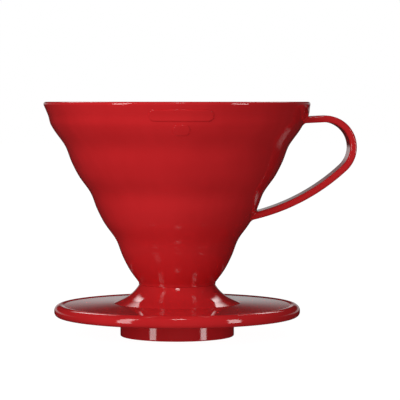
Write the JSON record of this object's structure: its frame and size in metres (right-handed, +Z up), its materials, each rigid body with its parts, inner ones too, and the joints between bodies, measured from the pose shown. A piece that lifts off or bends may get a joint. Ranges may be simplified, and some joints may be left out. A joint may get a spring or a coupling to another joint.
{
  "type": "pour over coffee dripper",
  "caption": "Conical pour-over coffee dripper with a wavy outer wall, strap handle, spiral inner ribs and a round drip-plate base with a locating collar.",
  "frame": {"origin": "centre of the circle that the collar's bottom edge rests on", "axes": "+Z up along the axis of the cone, +X towards the handle, -Y towards the front with the blank badge"},
  "size_m": [0.1368, 0.1168, 0.1028],
  "materials": {
    "cone_plastic": "high-gloss moulded polypropylene, red",
    "base_plastic": "high-gloss moulded polypropylene, the same red"
  },
  "bodies": {
    "root": {"dripper_cone": "cone_plastic", "base_stand": "base_plastic"}
  },
  "joints": []
}
